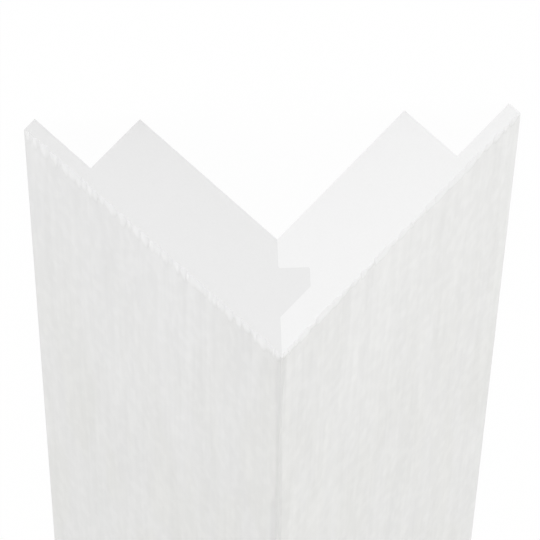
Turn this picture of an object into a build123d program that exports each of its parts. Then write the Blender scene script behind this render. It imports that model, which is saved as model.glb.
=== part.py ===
# Corner board: two rabbeted trim boards, glued at a right angle by a lock mitre.
# It lies on its two free edges with the outer corner up, along Y, and the floor is Z = 0.
import os
from math import sqrt

from build123d import *

# Driving dimensions, in millimetres
stock_length = 3048.0  # 10 ft, cut square at both ends
face_width = 101.6  # outer face of each board, from the corner to the free edge
board_thickness = 25.4
pocket_width = 22.2  # rabbet for the siding, along the face from the free edge
lip_thickness = 4.8  # front of the board that is left over the pocket
corner_ease = 0.5  # radius along the outer corner
edge_ease = 0.5  # radius along the outer arris of each free edge

# Lock mitre: a tongue on one board fills a groove in the other
flank_depth = 8.8  # flank of the tongue, below the groove board's outer face
tongue_reach = 9.0  # from the mitre to the tongue's nose, square to the mitre
nose_width = 5.8  # flat nose of the tongue, along the mitre
cutter_radius = 0.6  # in every corner of the joint

# The lowest edges carry the board: the tips of the lips, or the pocket walls where they hang lower
pocket_start = face_width - pocket_width
lip_drop = (face_width + lip_thickness) / sqrt(2)
wall_drop = (pocket_start + board_thickness) / sqrt(2)
corner_height = max(lip_drop, wall_drop)

# Section at the outer corner: x runs down the groove board's face, y down the tongue board's face
section_plane = Plane(origin=(0, 0, corner_height), x_dir=(-1, 0, -1), z_dir=(0, -1, 0))

# Both boards together: an angle with a pocket behind each free edge
groove_leg = [
    (face_width, 0),
    (face_width, lip_thickness),
    (pocket_start, lip_thickness),
    (pocket_start, board_thickness),
]
tongue_leg = [(y, x) for x, y in reversed(groove_leg)]
with BuildSketch() as angle_section:
    with BuildLine():
        Polyline((0, 0), *groove_leg, (board_thickness, board_thickness), *tongue_leg, close=True)
    make_face()
    fillet(angle_section.vertices().sort_by_distance((0, 0)).first, corner_ease)
    tips = [angle_section.vertices().sort_by_distance(tip).first for tip in ((face_width, 0), (0, face_width))]
    fillet(tips, edge_ease)

# Joint line: in along the mitre, round the tongue, and out along the mitre through the inner corner
nose_offset = tongue_reach / sqrt(2)
nose_rise = nose_width / sqrt(2)
shoulder_depth = flank_depth + nose_offset + nose_rise
with BuildLine() as joint_line:
    FilletPolyline(
        (-board_thickness, -board_thickness),
        (flank_depth, flank_depth),
        (flank_depth + 2 * nose_offset, flank_depth),
        (flank_depth + 2 * nose_offset + nose_rise, flank_depth + nose_rise),
        (shoulder_depth, shoulder_depth),
        (face_width, face_width),
        radius=cutter_radius,
    )

# Tongue board: what lies on the tongue's side of the joint line
with BuildPart() as tongue_board:
    with BuildSketch(section_plane):
        add(angle_section.sketch)
        with BuildLine():
            add(joint_line.line)
            Polyline(joint_line.line @ 1, (-board_thickness, face_width), joint_line.line @ 0)
        make_face(mode=Mode.INTERSECT)
    extrude(amount=stock_length / 2, both=True)

# Groove board: what lies on the other side
with BuildPart() as groove_board:
    with BuildSketch(section_plane):
        add(angle_section.sketch)
        with BuildLine():
            add(joint_line.line)
            Polyline(joint_line.line @ 1, (face_width, -board_thickness), joint_line.line @ 0)
        make_face(mode=Mode.INTERSECT)
    extrude(amount=stock_length / 2, both=True)

# One STEP file for each board
os.makedirs("parts", exist_ok=True)
tongue_board.part.label = "tongue_board"
groove_board.part.label = "groove_board"
export_step(tongue_board.part, "parts/tongue_board.step")
export_step(groove_board.part, "parts/groove_board.step")
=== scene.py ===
import math

import bpy
import numpy as np
from mathutils import Matrix, Vector


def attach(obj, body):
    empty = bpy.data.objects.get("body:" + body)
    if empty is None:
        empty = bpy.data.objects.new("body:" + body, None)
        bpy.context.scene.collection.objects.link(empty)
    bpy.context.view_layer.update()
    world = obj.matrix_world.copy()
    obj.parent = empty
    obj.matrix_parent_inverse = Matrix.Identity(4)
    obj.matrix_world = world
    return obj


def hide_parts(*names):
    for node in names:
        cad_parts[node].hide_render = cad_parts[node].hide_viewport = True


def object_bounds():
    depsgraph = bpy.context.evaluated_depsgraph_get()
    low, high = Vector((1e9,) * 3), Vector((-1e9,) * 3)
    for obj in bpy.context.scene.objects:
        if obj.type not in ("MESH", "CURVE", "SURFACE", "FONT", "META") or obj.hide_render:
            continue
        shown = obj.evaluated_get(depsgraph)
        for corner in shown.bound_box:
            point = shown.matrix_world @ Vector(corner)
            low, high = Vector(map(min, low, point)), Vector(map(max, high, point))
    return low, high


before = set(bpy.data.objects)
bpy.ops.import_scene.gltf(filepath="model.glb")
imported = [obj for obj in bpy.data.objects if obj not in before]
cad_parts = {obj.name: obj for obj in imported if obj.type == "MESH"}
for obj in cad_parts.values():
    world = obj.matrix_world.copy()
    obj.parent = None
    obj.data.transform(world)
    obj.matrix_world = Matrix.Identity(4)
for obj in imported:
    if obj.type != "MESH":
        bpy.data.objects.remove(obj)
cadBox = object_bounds()
print("frame loaded:", ", ".join(sorted(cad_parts)))

# section of the two boards, in metres
section = {
    "faceWidth": 0.1016,  # outer face, from the corner to the free edge
    "boardThickness": 0.0254,
    "pocketWidth": 0.0222,  # rabbet for the siding
    "lipThickness": 0.0048,
    "cornerEase": 0.0005,
    "edgeEase": 0.0005,
    "rearEase": 0.0003,  # planed arris of the back
    "flankDepth": 0.0088,
    "tongueReach": 0.0090,
    "noseWidth": 0.0058,
    "cutterRadius": 0.0006,
    "columns": 168,  # across the outer face
    "cornerSteps": 2,  # on each board's half of the eased corner
    "arcSteps": 3,
    "smoothMargin": 0.0016,  # the pressed grain dies out towards both arrises
}
root2 = math.sqrt(2)
endY = cadBox[0].y  # the photographed end
stockLength = cadBox[1].y - cadBox[0].y
cornerHeight = cadBox[1].z + section["cornerEase"] * (root2 - 1)  # where the two outer faces would meet


# node helpers

def addNode(tree, kind, inputs=None, **settings):
    node = tree.nodes.new(kind)
    for name, value in settings.items():
        setattr(node, name, value)
    for name, value in (inputs or {}).items():
        if isinstance(value, bpy.types.NodeSocket):
            tree.links.new(value, node.inputs[name])
        else:
            node.inputs[name].default_value = value
    return node


def calc(tree, operation, *terms):
    node = addNode(tree, "ShaderNodeMath", dict(enumerate(terms)), operation=operation)
    return node.outputs[0]


def remap(tree, value, fromLow, fromHigh, toLow, toHigh):
    inputs = {"Value": value, "From Min": fromLow, "From Max": fromHigh, "To Min": toLow, "To Max": toHigh}
    return addNode(tree, "ShaderNodeMapRange", inputs, interpolation_type="SMOOTHSTEP").outputs["Result"]


def rising(tree, value, low, high):
    return remap(tree, value, low, high, 0.0, 1.0)


def falling(tree, value, low, high):
    return remap(tree, value, low, high, 1.0, 0.0)


# outline of a board in the section: along its face from the corner, and depth below that face

def arc(centre, radius, fromAngle, toAngle, steps):
    angles = [math.radians(fromAngle + (toAngle - fromAngle) * i / steps) for i in range(steps + 1)]
    return [(centre[0] + radius * math.cos(a), centre[1] + radius * math.sin(a)) for a in angles]


def rounded(before, corner, after, radius, steps):
    corner = Vector(corner)
    toBefore = (Vector(before) - corner).normalized()
    toAfter = (Vector(after) - corner).normalized()
    half = toBefore.angle(toAfter) / 2
    centre = corner + (toBefore + toAfter).normalized() * radius / math.sin(half)
    start = corner + toBefore * radius / math.tan(half) - centre
    finish = corner + toAfter * radius / math.tan(half) - centre
    return [tuple(centre + start.lerp(finish, i / steps).normalized() * radius) for i in range(steps + 1)]


def roundedLine(points, radius, steps):
    line = [points[0]]
    for before, corner, after in zip(points, points[1:], points[2:]):
        line += rounded(before, corner, after, radius, steps)
    return line + [points[-1]]


def legOutline():
    s = section
    width, thick, lip = s["faceWidth"], s["boardThickness"], s["lipThickness"]
    pocket = width - s["pocketWidth"]
    ease, edge = s["cornerEase"], s["edgeEase"]
    corner = arc((ease, ease), ease, 225, 270, s["cornerSteps"])
    step = (width - edge - ease) / s["columns"]
    face = [(ease + step * i, 0.0) for i in range(1, s["columns"])]
    tip = arc((width - edge, edge), edge, 270, 360, s["arcSteps"])
    rear = rounded((pocket, lip), (pocket, thick), (thick, thick), s["rearEase"], s["arcSteps"])
    return corner, face, tip + [(width, lip), (pocket, lip)] + rear + [(thick, thick)]


def jointOutline():  # from the outer corner along the mitre, round the tongue, to the inner corner
    s = section
    flank, thick = s["flankDepth"], s["boardThickness"]
    offset, rise = s["tongueReach"] / root2, s["noseWidth"] / root2
    shoulder = flank + offset + rise
    nose = flank + 2 * offset
    start = s["cornerEase"] * (1 - 1 / root2)
    line = [(start, start), (flank, flank), (nose, flank), (nose + rise, flank + rise), (shoulder, shoulder)]
    return roundedLine(line + [(thick, thick)], s["cutterRadius"], s["arcSteps"])


def toRow(x, y):  # x runs down the groove board's face, y down the tongue board's face
    return (y - x) / root2, cornerHeight - (x + y) / root2


# materials

def faceCoordinates(tree, look, width=1.0, length=1.0):  # across the face, along the board, out of the face
    inputs = {
        "Vector": addNode(tree, "ShaderNodeTexCoord").outputs["Object"],
        "Location": (0, 0, cornerHeight),
        "Rotation": (0, math.radians(look["faceTurn"]), 0),
        "Scale": (width, length, width),
    }
    return addNode(tree, "ShaderNodeMapping", inputs, vector_type="TEXTURE").outputs["Vector"]


def streaks(tree, look, width, length, detail=0.0):
    inputs = {
        "Vector": faceCoordinates(tree, look, width, length),
        "W": 0.5,  # between the noise's lattice planes, where no weave shows
        "Scale": 1.0,
        "Detail": detail,
    }
    return addNode(tree, "ShaderNodeTexNoise", inputs, noise_dimensions="4D").outputs["Fac"]


def ownValue(tree, name):  # a value that the sweep left on the mesh
    return addNode(tree, "ShaderNodeAttribute", attribute_name=name).outputs["Fac"]


def newMaterial(name):
    material = bpy.data.materials.new(name)
    material.use_nodes = True
    return material, material.node_tree, material.node_tree.nodes["Principled BSDF"]


def tinted(tree, factor, first, second):
    node = addNode(tree, "ShaderNodeMix", data_type="RGBA")
    tree.links.new(factor, node.inputs["Factor"])
    for socket, colour in (("A", first), ("B", second)):
        target = next(s for s in node.inputs if s.name == socket and s.type == "RGBA")
        if isinstance(colour, bpy.types.NodeSocket):
            tree.links.new(colour, target)
        else:
            target.default_value = (*colour, 1.0)
    return next(s for s in node.outputs if s.type == "RGBA")


def shade(colour, factor):
    return tuple(c * factor for c in colour)


def dress(tree, shader, colour, roughness, height, relief):
    strength, distance = relief
    bump = addNode(tree, "ShaderNodeBump", {"Height": height, "Strength": strength, "Distance": distance})
    tree.links.new(colour, shader.inputs["Base Color"])
    tree.links.new(roughness, shader.inputs["Roughness"])
    tree.links.new(bump.outputs["Normal"], shader.inputs["Normal"])


# pressed skin of the outer faces: patterns go across and along in metres, tones are shares of the colour
skinFinish = {
    "patch": (0.0100, 0.100),  # warmer and cooler
    "patchRange": (0.40, 0.60),  # of the noise
    "paintedLightReach": 0.26,  # painted light: a little paler and less warm towards the sawn ends
    "paintedLightAcross": 0.045,  # but less so this near to the corner
    "paintedLightLeast": 0.2,  # share of it that is left at the corner
    "cloud": (0.0045, 0.100),
    "cloudTone": (-0.011, 0.011),  # darkest and lightest
    "fibre": (0.0034, 0.036),
    "fibreTone": (-0.015, 0.015),
    "line": (0.0011, 0.050),
    "lineTone": (-0.010, 0.010),
    "grainRange": (0.25, 0.75),
    "fleck": (0.0021, 0.0075),
    "fleckTone": (-0.009, 0.020),
    "fleckRange": (0.35, 0.75),
    "paintedGrooveShade": -0.011,  # painted shade in the pressed grooves
    "paintedShadeTone": -0.060,  # painted shade: dark strip of uneven width along the outer corner
    "paintedShadeEdge": (0.004, 0.030),
    "paintedShadeStray": 0.0012,  # how far its edge wanders from side to side
    "paintedEaseShade": -0.040,  # painted shade, darker still on the eased corner itself
    "easeFade": (0.0004, 0.0010),  # across
    "stripFade": (0.0004, 0.0006),  # inner and outer edge of the painted highlight, a paler strip beside it
    "stripReach": (0.03, 0.11),  # from the sawn end, where that strip dies out
    "chipShadowRange": (0.06, 0.25),  # of a chip's depth, where the painted shadow along its rim is darkest and where it ends
    "fuzzRange": (0.03, 0.50),  # and where its pale core begins and is full
    "roughness": (0.52, 0.68),
    "roughRange": (0.2, 0.8),
    "pore": (0.0008, 0.020),
    "poreShare": 0.15,  # of the fibres' height
    "relief": (0.30, 0.00015),  # strength and height
}


def grainSkin(name, look):
    finish = skinFinish
    material, tree, shader = newMaterial(name)
    place = addNode(tree, "ShaderNodeSeparateXYZ", {0: faceCoordinates(tree, look)}).outputs
    across = calc(tree, "ABSOLUTE", place["X"])
    fromEnd = calc(tree, "SUBTRACT", stockLength / 2, calc(tree, "ABSOLUTE", place["Y"]))

    patches = rising(tree, streaks(tree, look, *finish["patch"], 1.0), *finish["patchRange"])
    colour = tinted(tree, patches, look["skin"], look["skinWarm"])
    # painted light: the skin turns paler and less warm towards the sawn ends, less so near the corner
    fromCorner = remap(tree, across, 0.0, finish["paintedLightAcross"], finish["paintedLightLeast"], 1.0)
    paintedLightNearEnd = calc(tree, "MULTIPLY", falling(tree, fromEnd, 0.0, finish["paintedLightReach"]), fromCorner)
    colour = tinted(tree, paintedLightNearEnd, colour, look["paintedLightSkin"])

    # grain: clouds, straight fibres, thin lines, short light flecks, and painted shade in the pressed
    # grooves
    fibre = streaks(tree, look, *finish["fibre"], 1.0)
    cloud = streaks(tree, look, *finish["cloud"])
    line = streaks(tree, look, *finish["line"])
    fleck = streaks(tree, look, *finish["fleck"])
    grain = remap(tree, fleck, *finish["fleckRange"], *finish["fleckTone"])
    for pattern, tones in ((cloud, "cloudTone"), (fibre, "fibreTone"), (line, "lineTone")):
        grain = calc(tree, "ADD", grain, remap(tree, pattern, *finish["grainRange"], *finish[tones]))
    # painted shade: darker where the pressed relief sinks
    grain = calc(tree, "MULTIPLY_ADD", ownValue(tree, "relief"), finish["paintedGrooveShade"], grain)
    tone = calc(tree, "MULTIPLY_ADD", grain, look["grainContrast"], 1.0)

    # painted shade along the corner, in a dark strip of uneven width
    atEnd, narrow, further = look["paintedShadeWidth"]
    shrink, grow = look["paintedShadeTurns"]
    width = remap(tree, fromEnd, *shrink, atEnd, narrow)
    width = calc(tree, "ADD", width, remap(tree, fromEnd, *grow, 0.0, further - narrow))
    stray = finish["paintedShadeStray"]
    ragged = calc(tree, "MULTIPLY_ADD", streaks(tree, look, *finish["paintedShadeEdge"], 1.0), stray, -stray / 2)
    edge = calc(tree, "ADD", across, ragged)
    paintedShade = falling(tree, edge, width, calc(tree, "ADD", width, look["paintedShadeFade"]))
    tone = calc(tree, "MULTIPLY_ADD", paintedShade, finish["paintedShadeTone"], tone)
    # painted shade on the eased corner
    tone = calc(tree, "MULTIPLY_ADD", falling(tree, across, *finish["easeFade"]), finish["paintedEaseShade"], tone)

    if "strip" in look:  # painted highlight: a paler strip beside it, near the sawn end
        inner, outer = look["strip"]
        innerFade, outerFade = finish["stripFade"]
        rise = rising(tree, edge, inner - innerFade, inner + innerFade)
        fall = falling(tree, edge, outer - outerFade, outer + outerFade)
        strip = calc(tree, "MULTIPLY", calc(tree, "MULTIPLY", rise, fall), look["stripTone"])
        tone = calc(tree, "MULTIPLY_ADD", strip, falling(tree, fromEnd, *finish["stripReach"]), tone)

    # broken arris of the sawn end: pale and rough, with painted shadow along the chips' rim
    chip = ownValue(tree, "chip")
    darkest, last = finish["chipShadowRange"]
    # painted shadow along the rim of each chip
    rim = calc(tree, "MULTIPLY", rising(tree, chip, 0.0, darkest), falling(tree, chip, darkest, last))
    tone = calc(tree, "MULTIPLY_ADD", rim, look["chipShadowTone"], tone)
    colour = addNode(tree, "ShaderNodeVectorMath", {0: colour, "Scale": tone}, operation="SCALE").outputs[0]
    colour = tinted(tree, rising(tree, chip, *finish["fuzzRange"]), colour, look["fuzz"])

    roughness = remap(tree, fibre, *finish["roughRange"], *finish["roughness"])
    pores = streaks(tree, look, *finish["pore"], 2.0)
    height = calc(tree, "MULTIPLY_ADD", pores, finish["poreShare"], fibre)
    dress(tree, shader, colour, roughness, height, finish["relief"])
    return material


endFinish = {
    "cells": 1500.0,  # of the foam, per metre
    "cellRange": (0.3, 0.7),  # of the noise
    # painted shade in the foam's cell hollows
    "cellShade": 0.99,
    "roughness": (0.75, 0.90),
    "roughRange": (0.2, 0.8),
    "kerfTurn": 20,  # degrees that the saw marks lean
    "kerf": 160.0,
    "kerfWaver": 1.5,
    "relief": (0.12, 0.00004),
}


def sawnEnd(name, look):
    finish = endFinish
    material, tree, shader = newMaterial(name)
    source = addNode(tree, "ShaderNodeTexCoord").outputs["Object"]
    foam = {"Vector": source, "Scale": finish["cells"], "Detail": 2.0}
    cells = addNode(tree, "ShaderNodeTexNoise", foam).outputs["Fac"]
    # painted shade: the foam's cell hollows a little darker
    paintedPoreShade = rising(tree, cells, *finish["cellRange"])
    colour = tinted(tree, paintedPoreShade, look["core"], shade(look["core"], finish["cellShade"]))
    roughness = remap(tree, cells, *finish["roughRange"], *finish["roughness"])
    lean = {"Vector": source, "Rotation": (0, math.radians(finish["kerfTurn"]), 0)}
    leaning = addNode(tree, "ShaderNodeMapping", lean).outputs["Vector"]
    kerf = {"Vector": leaning, "Scale": finish["kerf"], "Distortion": finish["kerfWaver"]}
    marks = addNode(tree, "ShaderNodeTexWave", kerf).outputs["Fac"]
    dress(tree, shader, colour, roughness, marks, finish["relief"])
    return material


backFinish = {
    "cloud": (0.030, 0.200),  # across and along, in metres
    "cloudRange": (0.3, 0.7),  # of the noise
    "cloudShade": 0.975,
    "roughness": (0.42, 0.55),
    "roughRange": (0.2, 0.8),
    "ripple": 60.0,  # cutter marks
    "rippleWaver": 0.6,
    "relief": (0.10, 0.00003),
}


def milledBack(name, look):
    finish = backFinish
    material, tree, shader = newMaterial(name)
    clouds = streaks(tree, look, *finish["cloud"], 2.0)
    dull = rising(tree, clouds, *finish["cloudRange"])
    colour = tinted(tree, dull, look["core"], shade(look["core"], finish["cloudShade"]))
    roughness = remap(tree, clouds, *finish["roughRange"], *finish["roughness"])
    source = addNode(tree, "ShaderNodeTexCoord").outputs["Object"]
    ripple = {"Vector": source, "Scale": finish["ripple"], "Distortion": finish["rippleWaver"]}
    marks = addNode(tree, "ShaderNodeTexWave", ripple, bands_direction="Y").outputs["Fac"]
    dress(tree, shader, colour, roughness, marks, finish["relief"])
    return material


# sweep of an outline along the board, with the grain pressed into the outer face

pressedGrain = {
    "wander": (0.045, 0.420),  # of the growth rings, across and along, in metres
    "wanderBy": 0.030,
    "fibre": (0.0036, 0.055),
    "fibreRange": (0.30, 0.70),  # of the noise
    "ringShare": 0.30,  # of the depth, the rest belongs to the fibres
    "chipRange": (0.34, 0.62),
    "chipLeast": 0.30,  # smallest chip, as a share of the largest
    "endStep": 9.0,  # between the chips of the two ends
    "seedStep": 7.31,
}
boardFaces = {
    "sharpBend": 40,  # degrees, from which an arris stays sharp
    "skinFrom": 0.6,  # share of a face's corners that lie on the pressed skin
    "endFacing": 0.9,  # how far a sawn end looks along the board
}


def sweptBoardTree():
    tree = bpy.data.node_groups.new("sweptBoard", "GeometryNodeTree")
    sockets = [
        ("Outline", "NodeSocketGeometry"),
        ("Stock Length", "NodeSocketFloat"),
        ("Rows", "NodeSocketInt"),
        ("End Crowding", "NodeSocketFloat"),
        ("Face Turn", "NodeSocketFloat"),
        ("Corner Height", "NodeSocketFloat"),
        ("Grain Depth", "NodeSocketFloat"),
        ("Ring Pitch", "NodeSocketFloat"),
        ("Chip Pitch", "NodeSocketFloat"),
        ("Chip Depth", "NodeSocketFloat"),
        ("Chip Reach", "NodeSocketFloat"),
        ("Seed", "NodeSocketInt"),
        ("Face Skin", "NodeSocketMaterial"),
        ("Sawn End", "NodeSocketMaterial"),
        ("Milled Back", "NodeSocketMaterial"),
    ]
    for label, kind in sockets:
        tree.interface.new_socket(label, in_out="INPUT", socket_type=kind)
    tree.interface.new_socket("Board", in_out="OUTPUT", socket_type="NodeSocketGeometry")
    given = tree.nodes.new("NodeGroupInput").outputs

    def onOutline(name):
        return addNode(tree, "GeometryNodeInputNamedAttribute", {"Name": name}, data_type="FLOAT").outputs[0]

    def keep(geometry, name, value):
        inputs = {"Geometry": geometry, "Name": name, "Value": value}
        return addNode(tree, "GeometryNodeStoreNamedAttribute", inputs, data_type="FLOAT").outputs[0]

    def setMaterial(geometry, material, selection=True):
        inputs = {"Geometry": geometry, "Selection": selection, "Material": material}
        return addNode(tree, "GeometryNodeSetMaterial", inputs).outputs[0]

    # rows crowd towards both ends, where the cuts are
    length = given["Stock Length"]
    halfLength = calc(tree, "MULTIPLY", length, 0.5)
    start = addNode(tree, "ShaderNodeCombineXYZ", {"Y": calc(tree, "MULTIPLY", halfLength, -1.0)})
    finish = addNode(tree, "ShaderNodeCombineXYZ", {"Y": halfLength})
    lineInputs = {"Start": start.outputs[0], "End": finish.outputs[0]}
    line = addNode(tree, "GeometryNodeCurvePrimitiveLine", lineInputs)
    rows = addNode(tree, "GeometryNodeResampleCurve", {"Curve": line.outputs[0], "Count": given["Rows"]})
    share = addNode(tree, "GeometryNodeSplineParameter").outputs["Factor"]
    counted = keep(rows.outputs[0], "rowShare", share)
    eased = rising(tree, share, 0.0, 1.0)
    mixed = calc(tree, "MULTIPLY_ADD", calc(tree, "SUBTRACT", eased, share), given["End Crowding"], share)
    rowY = calc(tree, "MULTIPLY", calc(tree, "SUBTRACT", mixed, 0.5), length)
    rowPlace = addNode(tree, "ShaderNodeCombineXYZ", {"Y": rowY})
    path = addNode(tree, "GeometryNodeSetPosition", {"Geometry": counted, "Position": rowPlace.outputs[0]})
    profile = addNode(tree, "GeometryNodeMeshToCurve", {"Mesh": given["Outline"]})
    sweepInputs = {"Curve": path.outputs[0], "Profile Curve": profile.outputs[0], "Fill Caps": True}
    board = addNode(tree, "GeometryNodeCurveToMesh", sweepInputs).outputs[0]

    # place on the face: across from the corner, along the board
    position = addNode(tree, "GeometryNodeInputPosition").outputs[0]
    corner = addNode(tree, "ShaderNodeCombineXYZ", {"Z": given["Corner Height"]}).outputs[0]
    turn = addNode(tree, "ShaderNodeCombineXYZ", {"Y": given["Face Turn"]}).outputs[0]
    turnInputs = {"Vector": position, "Center": corner, "Rotation": turn}
    onFace = addNode(tree, "ShaderNodeVectorRotate", turnInputs, rotation_type="EULER_XYZ", invert=True)
    flat = addNode(tree, "ShaderNodeSeparateXYZ", {0: onFace.outputs[0]}).outputs
    along = flat["Y"]
    press = pressedGrain
    seed = calc(tree, "MULTIPLY", given["Seed"], press["seedStep"])

    def noise(x, y, detail):
        spot = addNode(tree, "ShaderNodeCombineXYZ", {"X": x, "Y": y, "Z": seed}).outputs[0]
        inputs = {"Vector": spot, "Scale": 1.0, "Detail": detail}
        return addNode(tree, "ShaderNodeTexNoise", inputs).outputs[0]

    def grainNoise(width, stretch):
        return noise(calc(tree, "DIVIDE", flat["X"], width), calc(tree, "DIVIDE", along, stretch), 1.0)

    # growth rings wander along the board, and fibres break them up
    wander = calc(tree, "SUBTRACT", grainNoise(*press["wander"]), 0.5)
    wander = calc(tree, "MULTIPLY", wander, press["wanderBy"])
    ringPlace = calc(tree, "DIVIDE", calc(tree, "ADD", flat["X"], wander), given["Ring Pitch"])
    wave = calc(tree, "SINE", calc(tree, "MULTIPLY", ringPlace, math.tau))
    rings = calc(tree, "MULTIPLY_ADD", wave, 0.5, 0.5)
    fibres = rising(tree, grainNoise(*press["fibre"]), *press["fibreRange"])
    fibres = calc(tree, "MULTIPLY", fibres, 1 - press["ringShare"])
    relief = calc(tree, "MULTIPLY_ADD", rings, press["ringShare"], fibres)
    relief = calc(tree, "MULTIPLY", relief, onOutline("grainShare"))

    # the saw breaks the arris of each end into small chips
    fromEnd = calc(tree, "SUBTRACT", halfLength, calc(tree, "ABSOLUTE", along))
    chipPlace = calc(tree, "DIVIDE", flat["X"], given["Chip Pitch"])
    whichEnd = calc(tree, "MULTIPLY", calc(tree, "SIGN", along), press["endStep"])
    chipSize = remap(tree, noise(chipPlace, whichEnd, 2.0), *press["chipRange"], press["chipLeast"], 1.0)
    chipReach = calc(tree, "MULTIPLY", chipSize, given["Chip Reach"])
    chip = remap(tree, fromEnd, 0.0, chipReach, chipSize, 0.0)
    chip = calc(tree, "MULTIPLY", chip, onOutline("grainShare"))

    board = keep(board, "relief", relief)
    board = keep(board, "chip", chip)
    carved = calc(tree, "MULTIPLY", relief, given["Grain Depth"])
    sink = calc(tree, "MULTIPLY_ADD", chip, given["Chip Depth"], carved)
    inward = addNode(tree, "ShaderNodeCombineXYZ", {"Z": calc(tree, "MULTIPLY", sink, -1.0)}).outputs[0]
    sinkInputs = {"Vector": inward, "Rotation": turn}
    move = addNode(tree, "ShaderNodeVectorRotate", sinkInputs, rotation_type="EULER_XYZ").outputs[0]
    board = addNode(tree, "GeometryNodeSetPosition", {"Geometry": board, "Offset": move}).outputs[0]

    # smooth faces with sharp arrises
    smoothInputs = {"Geometry": board, "Shade Smooth": True}
    board = addNode(tree, "GeometryNodeSetShadeSmooth", smoothInputs).outputs[0]
    bend = addNode(tree, "GeometryNodeInputMeshEdgeAngle").outputs["Unsigned Angle"]
    sharp = calc(tree, "GREATER_THAN", bend, math.radians(boardFaces["sharpBend"]))
    sharpInputs = {"Geometry": board, "Selection": sharp, "Shade Smooth": False}
    board = addNode(tree, "GeometryNodeSetShadeSmooth", sharpInputs, domain="EDGE").outputs[0]

    # finishes: milled all over, then the pressed face, then the sawn ends
    board = addNode(tree, "GeometryNodeRealizeInstances", {"Geometry": board}).outputs[0]
    board = setMaterial(board, given["Milled Back"])
    isSkin = calc(tree, "GREATER_THAN", onOutline("skinShare"), boardFaces["skinFrom"])
    board = setMaterial(board, given["Face Skin"], isSkin)
    normal = addNode(tree, "GeometryNodeInputNormal").outputs[0]
    facing = addNode(tree, "ShaderNodeSeparateXYZ", {0: normal}).outputs["Y"]
    isEnd = calc(tree, "GREATER_THAN", calc(tree, "ABSOLUTE", facing), boardFaces["endFacing"])
    board = setMaterial(board, given["Sawn End"], isEnd)
    result = tree.nodes.new("NodeGroupOutput")
    tree.links.new(board, result.inputs["Board"])
    return tree


boardSweep = {
    "Stock Length": stockLength,
    "Rows": 470,
    "End Crowding": 0.93,
    "Corner Height": cornerHeight,
    "Grain Depth": 0.00020,
    "Ring Pitch": 0.0085,
    "Chip Pitch": 0.0022,
}
boards = {
    "tongue_board": {
        "piece": "tongueBoardGrained",
        "slot": "tongue_board_pvc",
        "faceTurn": 45.0,  # degrees
        "seed": 3,
        "skin": (0.843, 0.843, 0.834),
        "skinWarm": (0.831, 0.831, 0.813),
        # skin colour with painted light, used near the sawn ends
        "paintedLightSkin": (0.867, 0.867, 0.864),
        "grainContrast": 0.95,
        "core": (0.825, 0.825, 0.825),  # bare foam of the sawn ends and the back
        "fuzz": (0.912, 0.912, 0.912),  # in the chips of the sawn arris
        "chipDepth": 0.0008,
        "chipReach": 0.0110,  # along the board
        # painted shade along the outer corner
        "paintedShadeWidth": (0.0015, 0.0007, 0.0024),  # at the sawn end, at its narrowest and further in
        "paintedShadeTurns": ((0.020, 0.110), (0.125, 0.150)),  # from the sawn end, where it narrows and widens
        "paintedShadeFade": 0.0014,
        # painted shadow along the chips' rim
        "chipShadowTone": -0.020,
    },
    "groove_board": {
        "piece": "grooveBoardGrained",
        "slot": "groove_board_pvc",
        "faceTurn": -45.0,
        "seed": 8,
        "skin": (0.820, 0.820, 0.808),
        "skinWarm": (0.811, 0.811, 0.793),
        # skin colour with painted light, used near the sawn ends
        "paintedLightSkin": (0.846, 0.846, 0.835),
        "grainContrast": 1.12,
        "core": (0.896, 0.896, 0.896),
        "fuzz": (0.858, 0.858, 0.856),
        "chipDepth": 0.0010,
        "chipReach": 0.0045,
        # painted shade along the outer corner
        "paintedShadeWidth": (0.0015, 0.0002, 0.0016),
        "paintedShadeTurns": ((0.018, 0.040), (0.040, 0.150)),
        "paintedShadeFade": 0.0006,
        # painted highlight beside the painted shade, near the sawn end
        "strip": (0.0024, 0.0042),
        "stripTone": 0.045,
        # painted shadow along the chips' rim
        "chipShadowTone": -0.060,
    },
}


bakeLayout = {
    "strips": 3,  # the rows are cut into strips that lie side by side, with most room near the sawn ends
    "faceRoom": 6.0,  # times the room of the other sides
    "edge": 0.012,  # free at each end of a strip
    "capBand": 0.10,  # under the strips, for the sawn ends
    "closingGap": 0.25,  # a jump as big as this is the column that closes the outline
}


def outlineMesh(name, node):
    corner, face, rest = legOutline()
    leg = corner + face + rest
    margin = section["smoothMargin"]
    grain = [min(1.0, x / margin, (section["faceWidth"] - x) / margin) for x, depth in face]
    joint = jointOutline()[-2:0:-1]  # from the inner corner back to the outer one
    if node == "tongue_board":
        points = [(depth, along) for along, depth in leg] + joint
    else:
        points = leg + joint
    skinned = len(corner) + len(face)
    plain = len(points) - skinned
    steps = [math.dist(a, b) for a, b in zip(points, points[1:] + points[:1])]
    room = [step * (bakeLayout["faceRoom"] if i < skinned else 1.0) for i, step in enumerate(steps)]
    values = {
        "grainShare": [0.0] * len(corner) + grain + [0.0] * plain,
        "skinShare": [1.0] * (skinned + 1) + [0.0] * (plain - 1),
        "around": [sum(room[:i]) / sum(room) for i in range(len(points))],
    }
    places = [toRow(x, y) for x, y in points]
    if node == "groove_board":  # a mirror image, drawn the other way round so that its faces point outwards
        for numbers in (places, *values.values()):
            numbers.reverse()
    mesh = bpy.data.meshes.new(name)
    edges = [(i, (i + 1) % len(places)) for i in range(len(places))]
    mesh.from_pydata([(x, -z, 0) for x, z in places], edges, [])  # the sweep's profile plane has Y down
    for label, numbers in values.items():
        mesh.attributes.new(label, "FLOAT", "POINT").data.foreach_set("value", numbers)
    return mesh


def fetch(items, name, kind, width=1):
    values = np.empty(len(items) * width, kind)
    items.foreach_get(name, values)
    return values.reshape(-1, width) if width > 1 else values


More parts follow.
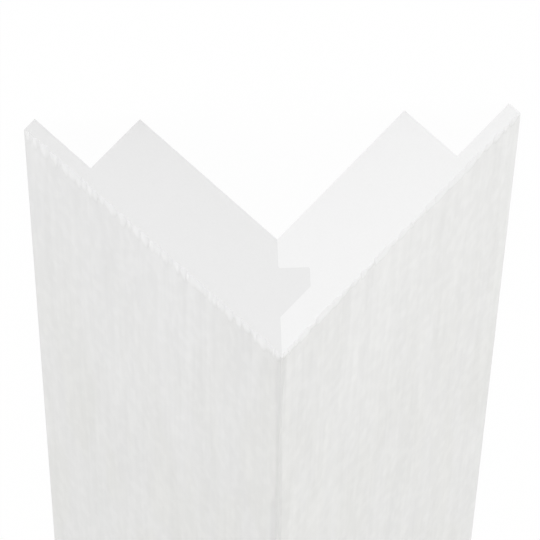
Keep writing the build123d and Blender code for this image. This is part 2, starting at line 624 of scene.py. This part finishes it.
def addBakeMap(mesh):
    strips, edge, capBand = (bakeLayout[k] for k in ("strips", "edge", "capBand"))
    closingGap = bakeLayout["closingGap"]
    vertexOf = fetch(mesh.loops, "vertex_index", np.int32)
    corners = fetch(mesh.polygons, "loop_total", np.int32)
    faceOf = np.repeat(np.arange(len(corners)), corners)
    place = fetch(mesh.vertices, "co", np.float32, 3)[vertexOf]
    around = fetch(mesh.attributes["around"].data, "value", np.float32)[vertexOf]

    def faceMean(values):
        return (np.bincount(faceOf, values) / corners)[faceOf]

    across = np.where(faceMean(around) - around > closingGap, around + 1.0, around)
    along = fetch(mesh.attributes["rowShare"].data, "value", np.float32)[vertexOf] * strips
    strip = np.floor(faceMean(along))
    u = (strip + edge + across * (1 - 2 * edge)) / strips
    v = capBand + edge + (along - strip) * (1 - capBand - 2 * edge)

    isCap = corners[faceOf] > 4  # only the sawn ends have more than four corners
    low, high = place.min(axis=0), place.max(axis=0)
    share = edge + (place - low) / (high - low) * (1 - 2 * edge)
    u = np.where(isCap, ((place[:, 1] > 0) + share[:, 0]) / 2, u)
    v = np.where(isCap, share[:, 2] * capBand, v)
    layer = mesh.uv_layers.new(name="OFBake")
    layer.data.foreach_set("uv", np.column_stack((u, v)).astype(np.float32).ravel())


def makeBoard(node, look, tree):
    mesh = outlineMesh(look["piece"], node)
    board = bpy.data.objects.new(look["piece"], mesh)
    bpy.context.scene.collection.objects.link(board)
    values = dict(boardSweep)
    values["Face Turn"] = math.radians(look["faceTurn"])
    values["Chip Depth"] = look["chipDepth"]
    values["Chip Reach"] = look["chipReach"]
    values["Seed"] = look["seed"]
    values["Face Skin"] = grainSkin(node + "Skin", look)
    values["Sawn End"] = sawnEnd(node + "End", look)
    values["Milled Back"] = milledBack(node + "Back", look)
    modifier = board.modifiers.new("sweep", "NODES")
    modifier.node_group = tree
    for item in tree.interface.items_tree:
        if item.in_out == "INPUT" and item.name in values:
            modifier[item.identifier] = values[item.name]
    board.update_tag()
    depsgraph = bpy.context.evaluated_depsgraph_get()
    swept = bpy.data.meshes.new_from_object(board.evaluated_get(depsgraph))
    swept.name = look["piece"]
    addBakeMap(swept)
    board.modifiers.remove(modifier)
    board.data = swept
    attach(board, "root")
    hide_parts(node)
    print(look["piece"], "faces:", len(swept.polygons))


sweptBoard = sweptBoardTree()
for nodeName, nodeLook in boards.items():
    makeBoard(nodeName, nodeLook, sweptBoard)


# stage: pale floor and white surroundings

stage = {
    "floorSize": 160.0,
    "floorDrop": 0.0001,
    "floorColour": (0.90, 0.90, 0.90, 1.0),
    "floorRoughness": 0.9,
    "whiteShare": 0.985,  # of the floor as the camera sees it, the rest takes the shadow
    "skyLevel": 0.80,
}


def seenDirectly(tree):
    path = addNode(tree, "ShaderNodeLightPath").outputs
    seen = calc(tree, "MAXIMUM", path["Is Camera Ray"], path["Is Glossy Ray"])
    return calc(tree, "MAXIMUM", seen, path["Is Transmission Ray"])


def makeFloor():
    half = stage["floorSize"] / 2
    low = -stage["floorDrop"]
    mesh = bpy.data.meshes.new("floor")
    corners = [(-half, -half, low), (half, -half, low), (half, half, low), (-half, half, low)]
    mesh.from_pydata(corners, [], [(0, 1, 2, 3)])
    floor = bpy.data.objects.new("floor", mesh)
    bpy.context.scene.collection.objects.link(floor)
    material, tree, shader = newMaterial("paleFloor")
    shader.inputs["Base Color"].default_value = stage["floorColour"]
    shader.inputs["Roughness"].default_value = stage["floorRoughness"]
    shader.inputs["Specular IOR Level"].default_value = 0.0
    white = addNode(tree, "ShaderNodeEmission", {"Strength": 1.0})
    share = calc(tree, "MULTIPLY", seenDirectly(tree), stage["whiteShare"])
    both = addNode(tree, "ShaderNodeMixShader", {0: share, 1: shader.outputs[0], 2: white.outputs[0]})
    tree.links.new(both.outputs[0], tree.nodes["Material Output"].inputs["Surface"])
    mesh.materials.append(material)


def makeSky():
    world = bpy.data.worlds.new("studio")
    bpy.context.scene.world = world
    world.use_nodes = True
    tree = world.node_tree
    background = tree.nodes["Background"]
    background.inputs["Color"].default_value = (1, 1, 1, 1)
    strength = remap(tree, seenDirectly(tree), 0.0, 1.0, stage["skyLevel"], 1.0)
    tree.links.new(strength, background.inputs["Strength"])


# lamps: a level is the share of white that a lamp gives on a face turned to it
suns = {
    "keyFromAbove": {"from": (-0.45, -0.60, 1.00), "level": 0.10, "spread": 60},
    "fillFromCutEnd": {"from": (0.10, -1.00, 0.30), "level": 0.10, "spread": 80},
}
softbox = {
    "from": (-0.20, -1.00, 1.05),  # its place from the outer corner of the cut end, in metres
    "level": 0.10,
    "size": 0.9,
}


def makeLamp(name, data, where):
    lamp = bpy.data.objects.new(name, data)
    bpy.context.scene.collection.objects.link(lamp)
    lamp.rotation_mode = "QUATERNION"
    lamp.rotation_quaternion = where.to_track_quat("Z", "Y")
    return lamp


def makeSun(name, sun):
    data = bpy.data.lights.new(name, "SUN")
    data.energy = sun["level"] * math.pi
    data.angle = math.radians(sun["spread"])
    makeLamp(name, data, Vector(sun["from"]))


def makeSoftbox():
    where = Vector(softbox["from"])
    data = bpy.data.lights.new("softbox", "AREA")
    data.shape = "DISK"
    data.size = softbox["size"]
    data.energy = softbox["level"] * math.pi**2 * where.length_squared
    makeLamp("softbox", data, where).location = where + Vector((0, endY, cornerHeight))


makeFloor()
makeSky()
makeSoftbox()
for sunName, sunLook in suns.items():
    makeSun(sunName, sunLook)
print("stage and light made")


# camera: looks down the cut end, turned so that the outer corner points down in the picture

view = {
    "rise": 70.906,  # degrees above the plane of the cut end
    "turn": 41.677,  # degrees round the length, from the groove board's face
    "roll": 1.223,
    "cornerRight": 0.00344,  # the cut end's outer corner from the picture's middle, in metres
    "cornerDown": 0.02520,
    "cornerAhead": 2.01543,
    "lens": 471.63,
    "sensor": 36.0,
    "clip": (0.05, 200.0),
}


def makeCamera():
    grooveWay = Vector((-1, 0, -1)) / root2
    tongueWay = Vector((1, 0, -1)) / root2
    endWay = Vector((0, -1, 0))
    rise, turn, roll = (math.radians(view[k]) for k in ("rise", "turn", "roll"))
    level = grooveWay * math.cos(turn) + tongueWay * math.sin(turn)
    ahead = level * math.cos(rise) - endWay * math.sin(rise)
    side = ahead.cross(endWay).normalized()
    upright = side.cross(ahead)
    right = side * math.cos(roll) + upright * math.sin(roll)
    up = upright * math.cos(roll) - side * math.sin(roll)
    corner = Vector((0, endY, cornerHeight))
    place = corner - right * view["cornerRight"] + up * view["cornerDown"] - ahead * view["cornerAhead"]
    data = bpy.data.cameras.new("camera")
    data.lens = view["lens"]
    data.sensor_width = view["sensor"]
    data.clip_start, data.clip_end = view["clip"]
    camera = bpy.data.objects.new("camera", data)
    bpy.context.scene.collection.objects.link(camera)
    turned = Matrix((right, up, -ahead)).transposed().to_4x4()
    camera.matrix_world = Matrix.Translation(place) @ turned
    bpy.context.scene.camera = camera


makeCamera()
bpy.context.scene.view_settings.view_transform = "Standard"
print("camera set")
